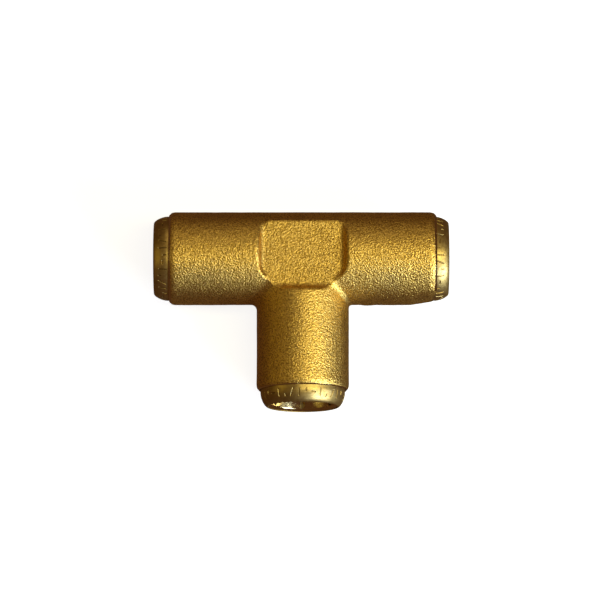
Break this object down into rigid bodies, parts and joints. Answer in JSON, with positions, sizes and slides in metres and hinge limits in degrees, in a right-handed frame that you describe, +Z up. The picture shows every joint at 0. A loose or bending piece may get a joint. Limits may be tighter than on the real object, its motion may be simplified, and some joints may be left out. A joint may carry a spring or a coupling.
{
  "type": "push to connect fitting",
  "caption": "Forged brass push-to-connect union tee with a grip collet and a turning release collar in each port.",
  "frame": {"origin": "middle of the lower flat, straight below the point where the three port axes cross", "axes": "+X along the run towards the right port, -Y along the branch out of its mouth, +Z up out of the upper flat"},
  "size_m": [0.0647, 0.0431, 0.0204],
  "materials": {
    "forged_brass": "hot forged and shot blasted, fine grained, lightly tarnished",
    "machined_brass": "turned, fine lathe marks",
    "black_rubber": "moulded nitrile, matt"
  },
  "bodies": {
    "fitting": {"tee_body": "forged_brass", "left_tube_support": "machined_brass", "left_tube_seal": "black_rubber", "left_seal_spacer": "machined_brass", "left_collet_retainer": "machined_brass", "right_tube_support": "machined_brass", "right_tube_seal": "black_rubber", "right_seal_spacer": "machined_brass", "right_collet_retainer": "machined_brass", "branch_tube_support": "machined_brass", "branch_tube_seal": "black_rubber", "branch_seal_spacer": "machined_brass", "branch_collet_retainer": "machined_brass"},
    "left_collet": {"left_grip_collet": "machined_brass"},
    "left_collar": {"left_release_collar": "machined_brass", "left_dust_seal": "black_rubber"},
    "right_collet": {"right_grip_collet": "machined_brass"},
    "right_collar": {"right_release_collar": "machined_brass", "right_dust_seal": "black_rubber"},
    "branch_collet": {"branch_grip_collet": "machined_brass"},
    "branch_collar": {"branch_release_collar": "machined_brass", "branch_dust_seal": "black_rubber"}
  },
  "joints": [
    {"name": "left_release", "type": "slide", "parent": "fitting", "child": "left_collet", "axis": [1, 0, 0], "range_m": [-0.00025, 0.00175]},
    {"name": "left_collar_spin", "type": "hinge", "parent": "left_collet", "child": "left_collar", "pos_m": [-0.03, 0, 0.008], "axis": [-1, 0, 0], "continuous": true},
    {"name": "right_release", "type": "slide", "parent": "fitting", "child": "right_collet", "axis": [-1, 0, 0], "range_m": [-0.0009, 0.0011]},
    {"name": "right_collar_spin", "type": "hinge", "parent": "right_collet", "child": "right_collar", "pos_m": [0.03, 0, 0.008], "axis": [1, 0, 0], "continuous": true},
    {"name": "branch_release", "type": "slide", "parent": "fitting", "child": "branch_collet", "axis": [0, 1, 0], "range_m": [0, 0.002]},
    {"name": "branch_collar_spin", "type": "hinge", "parent": "branch_collet", "child": "branch_collar", "pos_m": [0, -0.03, 0.008], "axis": [0, -1, 0], "continuous": true}
  ]
}
